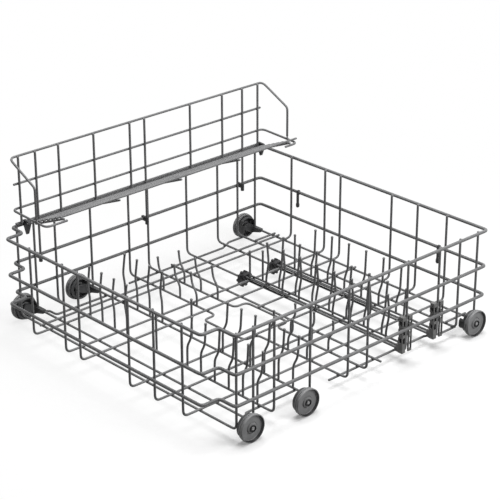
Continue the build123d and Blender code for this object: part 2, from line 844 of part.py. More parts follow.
shelf_hinge = round_rod(
    shelf_point(0, pivots_y[0] - pivot_half - tine_radius, 0),
    shelf_point(0, pivots_y[1] + pivot_half + tine_radius, 0),
    tine_radius,
)
save(shelf_hinge, "shelf_hinge_wire")

# The last shelf wire runs on over the arm at the back
with BuildPart() as shelf_wires:
    for number in range(1, shelf_wire_count + 1):
        along = shelf_wire_pitch * number
        wire_end_y = frame_back_y + shelf_rest if number == shelf_wire_count else shelf_back_y
        wire_start = shelf_point(along, shelf_front_y, 0)
        add(straight_wire(wire_start, shelf_point(along, wire_end_y, 0), tine_radius))
save(shelf_wires.part, "shelf_wires")

# Bars under the shelf wires, running out a little past the last of them
shelf_bars_y = [shelf_middle_y + shelf_bar_shift + shelf_bar_pitch * k for k in (-1, 0, 1)]
shelf_bars_y += [shelf_front_y + shelf_end_bar_set, shelf_back_y - shelf_end_bar_set]
with BuildPart() as shelf_bars:
    for bar_y in shelf_bars_y:
        bar_start = shelf_point(-tine_radius, bar_y, -tine_step)
        add(straight_wire(bar_start, shelf_point(bar_tip_reach, bar_y, -tine_step), tine_radius))
save(shelf_bars.part, "shelf_bars")

# Pivot clips: each joins the frame's foot wire and the shelf's hinge wire, sits on the top rail
# and ends in a tail
tail_x = left_x + pivot_tail_set
tail_z = hinge_z - pivot_tail
with BuildPart() as pivot_clips:
    for pivot_y in pivots_y:
        with BuildSketch(Plane.XZ.offset(-pivot_y)):
            with Locations((-wall_x, foot_z)):
                RegularPolygon(wire_radius + pivot_wall, wire_sides)
            with Locations((hinge_x, hinge_z)):
                RegularPolygon(tine_radius + pivot_wall, wire_sides)
            with Locations((tail_x, tail_z)):
                RegularPolygon(pivot_tail_radius, wire_sides)
            make_hull()
            with Locations((left_x, top_rail_z)):
                RegularPolygon(rail_radius + weld_gap, wire_sides, mode=Mode.SUBTRACT)
            with Locations((-wall_x, foot_z)):
                RegularPolygon(wire_radius + weld_gap, wire_sides, mode=Mode.SUBTRACT)
            with Locations((hinge_x, hinge_z)):
                Circle(tine_radius + hinge_clearance, mode=Mode.SUBTRACT)
        extrude(amount=pivot_half, both=True)
save(pivot_clips.part, "pivot_clips")

# Spare clips: a ring on the middle rail of the back wall, and a finger with a wider foot inside it
finger_y = back_y - spare_finger_set
finger_foot_z = middle_rail_z - spare_finger_drop
with BuildPart() as spare_clips:
    for clip_x in (-spare_clip_spread, spare_clip_spread):
        with BuildSketch(Plane.YZ.offset(clip_x)):
            with Locations((back_y, middle_rail_z)):
                RegularPolygon(spare_clip_ring, wire_sides)
            with Locations((finger_y, middle_rail_z)):
                Rectangle(spare_finger_width, spare_finger_drop, align=(Align.CENTER, Align.MAX))
            with Locations((back_y, middle_rail_z)):
                RegularPolygon(rail_radius + weld_gap, wire_sides, mode=Mode.SUBTRACT)
            with Locations((back_y + spare_flat, middle_rail_z)):
                Rectangle(
                    2 * spare_clip_ring,
                    2 * spare_clip_ring,
                    align=(Align.MIN, Align.CENTER),
                    mode=Mode.SUBTRACT,
                )
        extrude(amount=spare_clip_width / 2, both=True)
        with BuildSketch(Plane.XZ.offset(-finger_y)):
            with Locations((clip_x, finger_foot_z)):
                RegularPolygon(spare_foot_width / 2, wire_sides)
                with Locations((0, spare_foot_height - spare_foot_width)):
                    RegularPolygon(spare_foot_width / 2, wire_sides)
            make_hull()
        extrude(amount=spare_finger_width / 2, both=True)
save(spare_clips.part, "spare_clips")
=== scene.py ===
# Dishwasher basket: coated wire, moulded wheels and clips, on a white studio floor.
import json
import math

import bmesh
import bpy
import numpy as np
from mathutils import Matrix, Vector


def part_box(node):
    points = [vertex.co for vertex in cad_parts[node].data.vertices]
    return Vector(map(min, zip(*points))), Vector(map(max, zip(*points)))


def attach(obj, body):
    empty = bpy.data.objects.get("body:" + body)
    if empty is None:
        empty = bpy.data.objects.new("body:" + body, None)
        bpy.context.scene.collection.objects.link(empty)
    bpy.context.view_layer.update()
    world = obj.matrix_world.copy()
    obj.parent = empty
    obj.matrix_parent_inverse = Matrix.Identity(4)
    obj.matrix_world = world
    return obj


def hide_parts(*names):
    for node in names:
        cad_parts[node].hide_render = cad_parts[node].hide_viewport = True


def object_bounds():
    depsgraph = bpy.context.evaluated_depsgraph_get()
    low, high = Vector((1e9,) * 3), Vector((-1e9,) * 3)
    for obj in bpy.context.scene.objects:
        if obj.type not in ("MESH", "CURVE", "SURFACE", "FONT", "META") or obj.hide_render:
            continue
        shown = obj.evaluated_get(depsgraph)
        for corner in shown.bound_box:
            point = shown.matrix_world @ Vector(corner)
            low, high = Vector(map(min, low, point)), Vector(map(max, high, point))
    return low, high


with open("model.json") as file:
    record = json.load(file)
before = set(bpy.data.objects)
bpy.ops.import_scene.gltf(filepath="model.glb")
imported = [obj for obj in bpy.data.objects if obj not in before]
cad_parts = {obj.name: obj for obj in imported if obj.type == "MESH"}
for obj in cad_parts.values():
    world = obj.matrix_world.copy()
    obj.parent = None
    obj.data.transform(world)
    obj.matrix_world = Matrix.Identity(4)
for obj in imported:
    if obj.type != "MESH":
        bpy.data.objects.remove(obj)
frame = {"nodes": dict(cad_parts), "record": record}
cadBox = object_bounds()
bodyNodes = frame["record"]["behaviour"]["bodies"]
nodeBody = {node: body for body, nodes in bodyNodes.items() for node in nodes}
nodeSlot = {part["node"]: part["material_slot"] for part in frame["record"]["subparts"]}
print("frame loaded:", len(nodeBody), "nodes")


# A shader socket that can be used in plain sums
class Sock:
    def __init__(self, finish, link):
        self.finish = finish
        self.link = link

    def calc(self, operation, *values):
        return self.finish.node("Math", {"operation": operation}, dict(enumerate(values)))

    def __add__(self, other):
        return self.calc("ADD", self, other)

    def __radd__(self, other):
        return self.calc("ADD", other, self)

    def __sub__(self, other):
        return self.calc("SUBTRACT", self, other)

    def __rsub__(self, other):
        return self.calc("SUBTRACT", other, self)

    def __mul__(self, other):
        return self.calc("MULTIPLY", self, other)

    def __rmul__(self, other):
        return self.calc("MULTIPLY", other, self)

    def __abs__(self):
        return self.calc("ABSOLUTE", self)

    def above(self, low, high):  # 0 below low, 1 above high
        ends = {"Value": self, "From Min": low, "From Max": high}
        return self.finish.node("MapRange", {"clamp": True}, ends)


# One material, or the world, under construction
class Finish:
    def __init__(self, owner):
        owner.use_nodes = True
        self.owner = owner
        self.tree = owner.node_tree
        self.end = next(node for node in self.tree.nodes if node.type.startswith("OUTPUT"))
        self.shader = self.end.inputs["Surface"].links[0].from_node

    def node(self, kind, settings, inputs, output=0):
        made = self.tree.nodes.new("ShaderNode" + kind)
        for key, value in settings.items():
            setattr(made, key, value)
        for key, value in inputs.items():
            self.feed(made.inputs[key], value)
        return Sock(self, made.outputs[output])

    def feed(self, socket, value):
        if isinstance(value, Sock):
            self.tree.links.new(value.link, socket)
        else:
            socket.default_value = value

    def blend(self, mask, first, second):  # colours, first where mask is 0
        def full(colour):
            return colour if isinstance(colour, Sock) else (*colour, 1)

        # The node's sockets for colours are 6 and 7, and 2 for the result
        inputs = {0: mask, 6: full(first), 7: full(second)}
        return self.node("Mix", {"data_type": "RGBA"}, inputs, output=2)

    def place(self):
        return self.node("TexCoord", {}, {}, output="Object")

    def along(self, axis):
        return self.node("SeparateXYZ", {}, {0: self.place()}, output=axis)

    def grain(self, size, detail):  # size of the speckle in metres
        inputs = {"Vector": self.place(), "Scale": 1 / size, "Detail": detail}
        return self.node("TexNoise", {}, inputs)

    def bump(self, height, strength, depth):
        return self.node("Bump", {}, {"Height": height, "Strength": strength, "Distance": depth})

    def surface(self, constants, **varying):
        for key, value in constants.items():
            self.shader.inputs[key].default_value = value
        for key, value in varying.items():
            self.feed(self.shader.inputs[key.replace("_", " ")], value)
        return self.owner

    # 1 for what the lens sees straight, mirrored or through glass, 0 for light on the object
    def seen(self):
        camera = self.node("LightPath", {}, {}, output="Is Camera Ray")
        outputs = camera.link.node.outputs
        others = [Sock(self, outputs[ray]) for ray in ("Is Glossy Ray", "Is Transmission Ray")]
        return camera.calc("MAXIMUM", camera, camera.calc("MAXIMUM", *others))

    # Shows a plain glow in place of part of the surface
    def glow(self, share, kind, colour):
        shown = self.node(kind, {}, {"Color": (*colour, 1), "Strength": 1.0})
        plain = Sock(self, self.shader.outputs[0])
        mixed = self.node("MixShader", {}, {0: share, 1: plain, 2: shown})
        self.feed(self.end.inputs["Surface"], mixed)


# Thick dipped coating on the wire: slightly uneven grey, faint orange peel
coating = dict(
    dark=(0.185, 0.186, 0.189),
    light=(0.225, 0.226, 0.229),
    rodDark=(0.125, 0.126, 0.128),
    rodLight=(0.155, 0.156, 0.158),
    patch=0.03,
    patchDetail=3.0,
    patchLow=0.35,
    patchHigh=0.65,
    peel=0.0007,
    peelDetail=2.0,
    peelStrength=0.25,
    peelDepth=0.00003,
    roughLow=0.3,
    roughHigh=0.4,
    specular=0.25,
)


def makeCoating(name, dark, light):
    finish = Finish(bpy.data.materials.new(name))
    patch = finish.grain(coating["patch"], coating["patchDetail"])
    patch = patch.above(coating["patchLow"], coating["patchHigh"])
    peel = finish.grain(coating["peel"], coating["peelDetail"])
    rough = coating["roughLow"] + patch * (coating["roughHigh"] - coating["roughLow"])
    return finish.surface(
        {"Specular IOR Level": coating["specular"]},
        Base_Color=finish.blend(patch, dark, light),
        Roughness=rough,
        Normal=finish.bump(peel, coating["peelStrength"], coating["peelDepth"]),
    )


# Moulded plastic: fine spark-eroded grain, a little paler where it has been rubbed
moulding = dict(
    grain=0.0005,
    grainDetail=3.0,
    grainStrength=0.35,
    grainDepth=0.00004,
    rough=0.5,
    rubDetail=4.0,
    rubLow=0.45,
    rubHigh=0.75,
    rubShine=0.12,
    specular=0.4,
)
looks = dict(
    wheel=dict(dark=(0.29, 0.291, 0.295), light=(0.35, 0.351, 0.355), rubSize=0.012),
    bracket=dict(dark=(0.075, 0.076, 0.078), light=(0.11, 0.111, 0.114), rubSize=0.008),
    ladder=dict(dark=(0.18, 0.18, 0.177), light=(0.24, 0.24, 0.236), rubSize=0.008),
    clip=dict(dark=(0.034, 0.035, 0.037), light=(0.055, 0.056, 0.059), rubSize=0.008),
    black=dict(dark=(0.014, 0.014, 0.015), light=(0.024, 0.024, 0.026), rubSize=0.008),
    pin=dict(dark=(0.75, 0.75, 0.75), light=(0.85, 0.85, 0.85), rubSize=0.004),
)
slotKind = dict(bracket_plastic="bracket", bearing_plastic="black", clip_plastic="clip")
buffer = dict(reach=0.0155, half=0.0036, edge=0.0006)  # black stop in front of the rear wheels


# Colours the stop, which lies a set way in front of the rear wheels, black: partly the stop's own
# black plastic, partly painted shade
def blackenStopWithShade(finish, tone):
    low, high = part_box("wheel_right_rear")
    off = abs(finish.along("Y") - ((low[1] + high[1]) / 2 - buffer["reach"]))
    clear = off.above(buffer["half"], buffer["half"] + buffer["edge"])
    return finish.blend(clear, looks["black"]["dark"], tone)


def makeMoulded(kind):
    look = looks[kind]
    finish = Finish(bpy.data.materials.new(kind + "Plastic"))
    speckle = finish.grain(moulding["grain"], moulding["grainDetail"])
    rubbed = finish.grain(look["rubSize"], moulding["rubDetail"])
    rubbed = rubbed.above(moulding["rubLow"], moulding["rubHigh"])
    tone = finish.blend(rubbed, look["dark"], look["light"])
    # The stop on the bracket is coloured black, partly painted shade
    if kind == "bracket":
        tone = blackenStopWithShade(finish, tone)
    return finish.surface(
        {"Specular IOR Level": moulding["specular"]},
        Base_Color=tone,
        Roughness=moulding["rough"] - rubbed * moulding["rubShine"],
        Normal=finish.bump(speckle, moulding["grainStrength"], moulding["grainDepth"]),
    )


wireFinish = makeCoating("coatedWire", coating["dark"], coating["light"])
rodFinish = makeCoating("barRodCoating", coating["rodDark"], coating["rodLight"])
finishes = {kind: makeMoulded(kind) for kind in looks}
print("finishes made:", len(finishes) + 2)

# How meshes are read and finished, in metres and radians
meshing = dict(join=2e-6, flat=0.01, spunJoin=1e-7, crease=0.6, edgeProfile=0.6)


# The CAD solid of a node, welded, with flat faces joined
def solidOf(node):
    solid = bmesh.new()
    solid.from_mesh(frame["nodes"][node].data)
    bmesh.ops.remove_doubles(solid, verts=solid.verts, dist=meshing["join"])
    bmesh.ops.dissolve_limit(
        solid, angle_limit=meshing["flat"], verts=solid.verts, edges=solid.edges
    )
    return solid


def smoothMesh(name, solid):
    bmesh.ops.recalc_face_normals(solid, faces=solid.faces)
    for face in solid.faces:
        face.smooth = True
    mesh = bpy.data.meshes.new(name)
    solid.to_mesh(mesh)
    solid.free()
    return mesh


def addPiece(name, mesh, node):
    piece = bpy.data.objects.new(name, mesh)
    bpy.context.collection.objects.link(piece)
    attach(piece, nodeBody[node])
    return piece


# A moulded piece on the body of a node, its faces coloured by their order in kinds
def addMoulded(name, solid, node, kinds, crease=meshing["crease"]):
    mesh = smoothMesh(name, solid)
    mesh.set_sharp_from_angle(angle=crease)
    piece = addPiece(name, mesh, node)
    for kind in kinds:
        mesh.materials.append(finishes[kind])
    return piece


def addBlock(solid, low, high):
    size = Matrix.Diagonal((*(high - low), 1))
    bmesh.ops.create_cube(solid, size=1, matrix=Matrix.Translation((low + high) / 2) @ size)


def bevel(solid, edges, offset, segments):
    bmesh.ops.bevel(
        solid,
        geom=edges,
        offset=offset,
        offset_type="OFFSET",
        segments=segments,
        profile=meshing["edgeProfile"],
        affect="EDGES",
        clamp_overlap=True,
    )


# Faces between two rings of points
def bridge(solid, ring, after, closed=True):
    for k in range(len(ring) if closed else len(ring) - 1):
        n = (k + 1) % len(ring)
        solid.faces.new((ring[k], ring[n], after[n], after[k]))


# Wire: every many-sided CAD wire becomes a smooth round one on the same line
wire = dict(
    sides=16,
    capSides=8,
    softenRounds=2,
    softenShare=0.25,
    softenCut=0.004,
    tipRings=4,
    tipLength=0.9,
    ball=1.28,
    ballEnd=2.6,
    rodLength=0.2,
)


def ringCentre(ring):
    return sum((vert.co for vert in ring), Vector()) / len(ring)


# The closed ring of points round a wire, walked along edges that share no face
def ringFrom(start, edge):
    ring, vert = [start], edge.other_vert(start)
    while vert != start:
        ring.append(vert)
        beside = set(edge.link_faces)
        edge = next(e for e in vert.link_edges if not set(e.link_faces) & beside)
        vert = edge.other_vert(vert)
    return ring


# Rings in order along one wire; a loop starts beside its longest run
# The lowest index decides between equals, so that the walk is the same each time
def ringsAlong(verts):
    faces = {face for vert in verts for face in vert.link_faces}
    caps = [face for face in faces if len(face.verts) >= wire["capSides"]]
    if caps:
        first, last = list(min(caps, key=lambda face: face.index).verts), None
    else:
        edges = {edge for vert in verts for edge in vert.link_edges}
        run = max(edges, key=lambda edge: (edge.calc_length(), -edge.index))
        around = [e for e in run.link_faces[0].edges if e != run]
        first, last = [
            ringFrom(vert, next(e for e in around if vert in e.verts)) for vert in run.verts
        ]
    rings, seen = [first], set(first) | set(last or ())
    while True:
        ring = [
            edge.other_vert(vert)
            for vert in rings[-1]
            for edge in vert.link_edges
            if edge.other_vert(vert) not in seen
        ]
        if not ring:
            return rings + ([last] if last else []), last is not None
        seen.update(ring)
        rings.append(ring)


def islandsOf(solid):
    left = set(solid.verts)
    while left:
        stack, island = [left.pop()], []
        while stack:
            vert = stack.pop()
            island.append(vert)
            near = {edge.other_vert(vert) for edge in vert.link_edges} & left
            left -= near
            stack += near
        yield island


def readWires(node):
    solid = solidOf(node)
    for elements in (solid.verts, solid.edges, solid.faces):
        elements.index_update()
    tine = "tines" in node or "comb" in node
    wires = []
    for island in sorted(islandsOf(solid), key=lambda verts: min(v.index for v in verts)):
        rings, closed = ringsAlong(island)
        line = [ringCentre(ring) for ring in rings]
        radius = min((vert.co - line[0]).length for vert in rings[0])
        wires.append(dict(line=line, radius=radius, closed=closed, tine=tine))
    solid.free()
    return wires


# Corner cutting that leaves long runs straight
def soften(line, closed):
    for _ in range(wire["softenRounds"]):
        count = len(line)
        softer = []
        for i, here in enumerate(line):
            if not closed and i in (0, count - 1):
                softer.append(here)
                continue
            for other in (line[i - 1], line[(i + 1) % count]):
                gap = other - here
                cut = min(wire["softenShare"], wire["softenCut"] / gap.length)
                softer.append(here + gap * cut)
        line = softer
    return line


# Coating domed over both cut ends, and a ball on the upper end of a tine
def domeEnds(line, scale, run):
    steps = [k / wire["tipRings"] * math.pi / 2 for k in range(1, wire["tipRings"] + 1)]
    for _ in range(2):
        line, scale = line[::-1], scale[::-1]
        tip = line[0]
        inward = (line[1] - tip).normalized() * run["radius"] * wire["tipLength"]
        ball = wire["ball"] if run["tine"] and tip.z > line[-1].z else 1.0
        dome = [tip + inward * (1 - math.cos(step)) for step in steps]
        line = dome + [tip + inward * wire["ballEnd"]] + line[1:]
        scale = [ball * math.sin(step) for step in steps] + [1.0] + scale[1:]
    return line, scale


def addTube(mesh, run):
    closed = run["closed"]
    line = soften(run["line"], closed)
    scale = [1.0] * len(line)
    if not closed:
        line, scale = domeEnds(line, scale, run)
    count = len(line)
    across = None
    rings = []
    for i, here in enumerate(line):
        before = line[i - 1] if closed or i else here
        after = line[(i + 1) % count] if closed or i < count - 1 else here
        way = (after - before).normalized()
        if across is None:
            across = way.orthogonal().normalized()
        across = (across - way * across.dot(way)).normalized()
        third = way.cross(across)
        ring = []
        for k in range(wire["sides"]):
            turn = 2 * math.pi * k / wire["sides"]
            out = across * math.cos(turn) + third * math.sin(turn)
            ring.append(mesh.verts.new(here + out * run["radius"] * scale[i]))
        rings.append(ring)
    for ring, after in zip(rings, rings[1:]):
        bridge(mesh, ring, after)
    if closed:  # join the last ring to the first at the nearest turn
        first, last = rings[0], rings[-1]
        shift = min(range(len(first)), key=lambda k: (first[k].co - last[0].co).length)
        bridge(mesh, last, first[shift:] + first[:shift])
    else:
        mesh.faces.new(rings[0][::-1])
        mesh.faces.new(rings[-1])


def addWires(name, node, runs, finish):
    tubes = bmesh.new()
    for run in runs:
        addTube(tubes, run)
    piece = addPiece(name, smoothMesh(name, tubes), node)
    piece.data.materials.append(finish)
    return piece


def acrossLength(run):
    return abs(run["line"][-1].x - run["line"][0].x)


wireNodes = [node for node, slot in nodeSlot.items() if slot == "coated_wire"]
wireRuns = {node: readWires(node) for node in wireNodes}
for node in wireNodes:
    rods = []
    # The rods of the fold-down bars are coloured a darker grey than the other wires
    if "comb" in node or "rod" in node:  # the fold-down bars have a darker coating
        rods = [run for run in wireRuns[node] if acrossLength(run) > wire["rodLength"]]
    rest = [run for run in wireRuns[node] if run not in rods]
    if rods:
        piece = addWires("bar_" + node, node, rods, rodFinish)
    if rest:
        piece = addWires("round_" + node, node, rest, wireFinish)
    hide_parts(node)
print("wires rounded:", sum(len(runs) for runs in wireRuns.values()))


# Welds: the coating fills the crotch where two wires of one body touch
weld = dict(reach=0.00015, leastAngle=0.3, length=1.18, depth=0.8, shapeSteps=2)


def nearest(p, q, r, s):  # closest points of two straight pieces
    u, v, w = q - p, s - r, p - r
    a, b, c, d, e = u.dot(u), u.dot(v), v.dot(v), u.dot(w), v.dot(w)
    bottom = a * c - b * b
    if bottom < weld["leastAngle"] ** 2 * a * c:
        return None
    i = min(max((b * e - c * d) / bottom, 0), 1)
    j = min(max((b * i + e) / c, 0), 1)
    i = min(max((b * j - d) / a, 0), 1)
    return p + u * i, r + v * j


def piecesOf(run):
    line = run["line"] + (run["line"][:1] if run["closed"] else [])
    return list(zip(line, line[1:]))


def findWelds(runs):
    spans = []
    for run in runs:
        points = np.array([tuple(point) for point in run["line"]])
        spans.append((points.min(0) - run["radius"], points.max(0) + run["radius"]))
    for i, one in enumerate(runs):
        for j in range(i):
            two = runs[j]
            gap = np.maximum(spans[i][0] - spans[j][1], spans[j][0] - spans[i][1]).max()
            if gap > weld["reach"]:
                continue
            touch = one["radius"] + two["radius"] + weld["reach"]
            for p, q in piecesOf(one):
                for r, s in piecesOf(two):
                    close = nearest(p, q, r, s)
                    if not close:
                        continue
                    across = close[1] - close[0]
                    if across.length < touch:
                        radius = min(one["radius"], two["radius"])
                        yield close[0].lerp(close[1], 0.5), across, q - p, radius


def addWeld(mesh, spot, across, along, radius):
    up = across.normalized()
    side = (along - up * along.dot(up)).normalized()
    turn = Matrix((side, up.cross(side), up)).transposed().to_4x4()
    size = Matrix.Diagonal((weld["length"], weld["length"], weld["depth"], 1))
    bmesh.ops.create_icosphere(
        mesh,
        subdivisions=weld["shapeSteps"],
        radius=radius,
        matrix=Matrix.Translation(spot) @ turn @ size,
    )


bodyWires = {}
for node in wireNodes:
    bodyWires.setdefault(nodeBody[node], []).append(node)
weldCount = 0
for body, nodes in bodyWires.items():
    beads = bmesh.new()
    runs = [run for node in nodes for run in wireRuns[node]]
    for spot, across, along, radius in findWelds(runs):
        if across.length > radius:
            addWeld(beads, spot, across, along, radius)
            weldCount += 1
    piece = addPiece("welds_" + body, smoothMesh("welds_" + body, beads), nodes[0])
    piece.data.materials.append(wireFinish)
print("welds set:", weldCount)


# Moulded pieces: the CAD solid with its sharp edges eased
moulded = dict(ease=0.0004, segments=2, sharp=0.5, stubGap=0.0001)
ladder = dict(
    foot=0.002,
    footLevel=1e-5,
    footSteps=4,
    rise=(0.0205, 0.0345, 0.0485),
    height=0.0076,
    inset=0.0022,
    width=0.0044,
    depth=0.003,
    notch=0.0013,
    notchRise=0.007,
    notchHeight=0.005,
    over=0.001,
    blockLead=0.0052,
    column=0.0072,
    skin=0.0008,
)


# Takes boxes, each given by two corners, out of a solid
def cutBoxes(solid, boxes):
    cutter = bmesh.new()
    for low, high in boxes:
        addBlock(cutter, Vector(low), Vector(high))
    holders = []
    for shape in (solid, cutter):
        mesh = bpy.data.meshes.new("blank")
        shape.to_mesh(mesh)
        shape.free()
        holders.append(bpy.data.objects.new("blank", mesh))
        bpy.context.collection.objects.link(holders[-1])
    change = holders[0].modifiers.new("cut", "BOOLEAN")
    change.operation = "DIFFERENCE"
    change.object = holders[1]
    result = bmesh.new()
    result.from_object(holders[0], bpy.context.evaluated_depsgraph_get())
    for holder in holders:
        mesh = holder.data
        bpy.data.objects.remove(holder)
        bpy.data.meshes.remove(mesh)
    return result


# Ladder clips: the foot rounded, openings in the side and small notches up the edge
def openLadder(solid, node):
    low = Vector(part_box(node)[0])
    level = low.z + ladder["footLevel"]
    foot = [edge for edge in solid.edges if all(vert.co.z < level for vert in edge.verts)]
    bevel(solid, foot, ladder["foot"], ladder["footSteps"])
    inner = low.x + ladder["blockLead"]
    start = inner + ladder["inset"]
    front = low.y - ladder["over"]
    boxes = []
    for rise in ladder["rise"]:
        z, half = low.z + rise, ladder["height"] / 2
        boxes.append((
            (start, front, z - half),
            (start + ladder["width"], low.y + ladder["depth"], z + half),
        ))
        z, half = z + ladder["notchRise"], ladder["notchHeight"] / 2
        boxes.append((
            (inner - ladder["over"], front, z - half),
            (inner + ladder["notch"], low.y + ladder["notch"], z + half),
        ))
    return cutBoxes(solid, boxes)


# Painted shade: the faces inside the openings of a ladder clip's deep column are coloured black
def shadeLadderOpenings(solid, node):
    low, high = (Vector(corner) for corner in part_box(node))
    skin = Vector((1, 1, 1)) * ladder["skin"]
    first = Vector((low.x + ladder["blockLead"], low.y, low.z + ladder["foot"])) + skin
    last = Vector((high.x, low.y + ladder["column"], high.z)) - skin
    for face in solid.faces:
        middle = face.calc_center_median()
        face.material_index = int(all(a < m < b for a, m, b in zip(first, middle, last)))


# Takes the stub axles off a bracket; turned ones come below
def dropStubs(solid, node):
    sideName = "right" if "right" in node else "left"
    side = 1 if sideName == "right" else -1
    reach = min(abs(corner[0]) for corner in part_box("wheel_" + sideName + "_rear"))
    gone = [vert for vert in solid.verts if side * vert.co.x > reach - moulded["stubGap"]]
    bmesh.ops.delete(solid, geom=gone, context="VERTS")
    bmesh.ops.holes_fill(solid, edges=[edge for edge in solid.edges if edge.is_boundary])


def isSharp(edge):
    return edge.is_manifold and edge.calc_face_angle() > moulded["sharp"]


def easedCopy(node):
    solid, kinds = solidOf(node), [slotKind[nodeSlot[node]]]
    if "ladder" in node:
        solid, kinds = openLadder(solid, node), ["ladder", "black"]
    if "brackets" in node:
        dropStubs(solid, node)
    sharp = [edge for edge in solid.edges if isSharp(edge)]
    bevel(solid, sharp, moulded["ease"], moulded["segments"])
    # Painted shade: the faces inside the ladder clip's openings are coloured black
    if "ladder" in node:
        shadeLadderOpenings(solid, node)
    piece = addMoulded("moulded_" + node, solid, node, kinds)
    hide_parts(node)


mouldedNodes = [node for node, slot in nodeSlot.items() if slot in slotKind]
for node in mouldedNodes:
    easedCopy(node)
print("moulded pieces eased:", len(mouldedNodes))


# Painted shade: a black strip between the two rods of each fold-down bar, from the bearing part
# of the way along, fills the shaded gap between the rods
strip = dict(
    drop=0.0015,
    thickness=0.0006,
    gap=0.0002,
    bite=0.0015,
    edge=0.0002,
    edgeSteps=2,
    frontLength=0.095,
    rearLength=0.21,
)


def addShadeStrip(name, bearing, length, rods):
    near, far = sorted(rods, key=lambda run: run["line"][0].y)
    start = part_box(bearing)[1][0] - strip["bite"]
    top = near["line"][0].z - strip["drop"]
    front = near["line"][0].y + near["radius"] + strip["gap"]
    back = far["line"][0].y - far["radius"] - strip["gap"]
    solid = bmesh.new()
    low = Vector((start, front, top - strip["thickness"]))
    addBlock(solid, low, Vector((start + length, back, top)))
    bevel(solid, solid.edges[:], strip["edge"], strip["edgeSteps"])
    addMoulded(name, solid, bearing, ["black"])


def rodOf(node):
    return max(wireRuns[node], key=acrossLength)


frontRods = [rodOf("comb_front"), rodOf("comb_middle")]
rearRods = [rodOf("rear_bar_rod"), rodOf("comb_rear")]
# Black strips that stand in for the shade between the rods
addShadeStrip("bar_shade_strip_front", "bearing_front", strip["frontLength"], frontRods)
addShadeStrip("bar_shade_strip_rear", "bearing_rear", strip["rearLength"], rearRods)
print("bar strips laid")


# Turned pieces; a profile runs along the axle from the wheel's inner face, and out from the axle
def spunRing(solid, profile, centre, side, turn):
    return [
        solid.verts.new((
            centre.x + side * along,
            centre.y + out * math.cos(turn),
            centre.z + out * math.sin(turn),
        ))
        for along, out in profile
    ]


def revolve(solid, profile, centre, side, steps, closed):
    turns = [2 * math.pi * step / steps for step in range(steps)]
    rings = [spunRing(solid, profile, centre, side, turn) for turn in turns]
    for ring, after in zip(rings, rings[1:] + rings[:1]):
        bridge(solid, ring, after, closed)
    bmesh.ops.remove_doubles(solid, verts=solid.verts, dist=meshing["spunJoin"])


def bracketNode(side):
    return "wheel_brackets_right" if side > 0 else "wheel_brackets_left"


# Wheels: a grooved tread, a deep dished face with a thin lip, and a hollow ribbed back
wheel = dict(
    steps=72,
    bore=0.00406,
    bandDrop=0.0008,
    band=0.003,
    groove=0.0009,
    grooveDepth=0.0017,
    grooveEdge=0.0002,
    crownDrop=0.0003,
    crown=0.0009,
    shoulder=0.0008,
    shoulderBend=0.3,
    lip=0.0014,
    wall=0.0014,
    dish=0.0042,
    dishHub=0.0034,
    hub=0.008,
    hubFoot=0.0014,
    hubSet=0.002,
    backRim=0.003,
    backDepth=0.0026,
    backHub=0.0085,
    draft=0.0004,
    soft=0.0005,
    ease=0.0006,
    ribs=6,
    ribWidth=0.0016,
    ribHeight=0.8,
    ribBite=0.001,
    # black and clip colour the painted shade on the dish wall and in the hollow back
    kinds=("wheel", "black", "clip"),
    paintEdge=0.0002,
    paintDepth=0.0001,
    crease=0.7,
)


def wheelProfile(width, radius):
    w = wheel
    bandTop = radius - w["bandDrop"]
    grooveFloor = radius - w["grooveDepth"]
    grooveEnd = w["band"] + w["groove"]
    backWall = radius - w["backRim"]
    dishEdge = radius - w["lip"]
    dishWall = dishEdge - w["wall"]
    dishFloor = width - w["dish"]
    hubTop = width - w["hubSet"]
    bend = w["shoulder"] * w["shoulderBend"]
    return [
        (0, w["bore"]),
        (0, w["backHub"] - w["ease"]),
        (w["ease"], w["backHub"]),
        (w["backDepth"], w["backHub"] + w["draft"]),
        (w["backDepth"], backWall - w["draft"]),
        (w["draft"], backWall),
        (0, backWall + w["soft"]),
        (0, bandTop - w["shoulder"]),
        (bend, bandTop - bend),
        (w["shoulder"], bandTop),
        (w["band"] - w["grooveEdge"], bandTop),
        (w["band"], grooveFloor),
        (grooveEnd, grooveFloor),
        (grooveEnd + w["grooveEdge"], radius - w["crownDrop"]),
        (grooveEnd + w["crown"], radius),
        (width - w["shoulder"], radius),
        (width - bend, radius - bend),
        (width, radius - w["shoulder"]),
        (width, dishEdge),
        (width - w["ease"], dishEdge - w["draft"]),
        (dishFloor + w["soft"], dishWall),
        (dishFloor, dishWall - w["ease"]),
        (width - w["dishHub"], w["hub"] + w["hubFoot"]),
        (dishFloor, w["hub"] + w["ease"]),
        (hubTop - w["draft"], w["hub"]),
        (hubTop, w["hub"] - w["soft"]),
        (hubTop, w["bore"]),
    ]


def addRibs(solid, centre, side, radius):  # webs across the hollow back
    inner, outer = wheel["backHub"], radius - wheel["backRim"]
    at = Vector((side * wheel["backDepth"] / 2, (inner + outer) / 2, 0))
    length = outer - inner + wheel["ribBite"]
    size = (wheel["backDepth"] * wheel["ribHeight"], length, wheel["ribWidth"])
    for rib in range(wheel["ribs"]):
        turn = Matrix.Rotation(2 * math.pi * (rib + 0.5) / wheel["ribs"], 4, "X")
        block = Matrix.Translation(centre) @ turn @ Matrix.Translation(at)
        bmesh.ops.create_cube(solid, size=1, matrix=block @ Matrix.Diagonal((*size, 1)))


# Painted shade: the wall of the dish is coloured black and the hollow back dark, for the shade in
# these recesses
def paintWheelShade(solid, centre, side, width, radius):
    dishEdge, backWall = radius - wheel["lip"], radius - wheel["backRim"]
    for face in solid.faces:
        place = face.calc_center_median() - centre
        along, out = side * place.x, math.hypot(place.y, place.z)
        inWall = dishEdge - wheel["wall"] - wheel["paintEdge"] < out < dishEdge
        inBack = wheel["backHub"] < out < backWall + wheel["paintEdge"]
        if inWall and along > width - wheel["dish"]:
            face.material_index = wheel["kinds"].index("black")
        elif inBack and along < wheel["backDepth"] + wheel["paintDepth"]:
            face.material_index = wheel["kinds"].index("clip")


